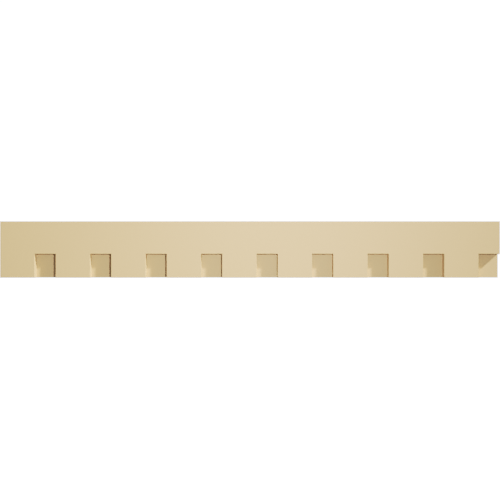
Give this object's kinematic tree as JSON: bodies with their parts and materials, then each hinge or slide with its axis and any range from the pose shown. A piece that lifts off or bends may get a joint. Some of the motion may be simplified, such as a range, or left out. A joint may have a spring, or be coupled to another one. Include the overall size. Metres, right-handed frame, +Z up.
{
  "type": "dentil moulding",
  "caption": "Straight dentil moulding: a plain flat band with a row of square teeth hanging below it, flat at the back so that it fixes to a wall, frieze or window head.",
  "frame": {"origin": "centre of the flat back face, on the wall's surface", "axes": "+X along the strip to its right end as seen from the front, +Y out of the back face into the wall, +Z up to the plain band's top edge; the teeth hang down and the front looks along -Y"},
  "size_m": [1.2002, 0.0254, 0.135],
  "materials": {
    "tan_primer": "matte tan primer on moulded rigid foam; the sanded back and the sawn ends are bare foam"
  },
  "bodies": {
    "root": {"dentil_moulding": "tan_primer"}
  },
  "joints": []
}
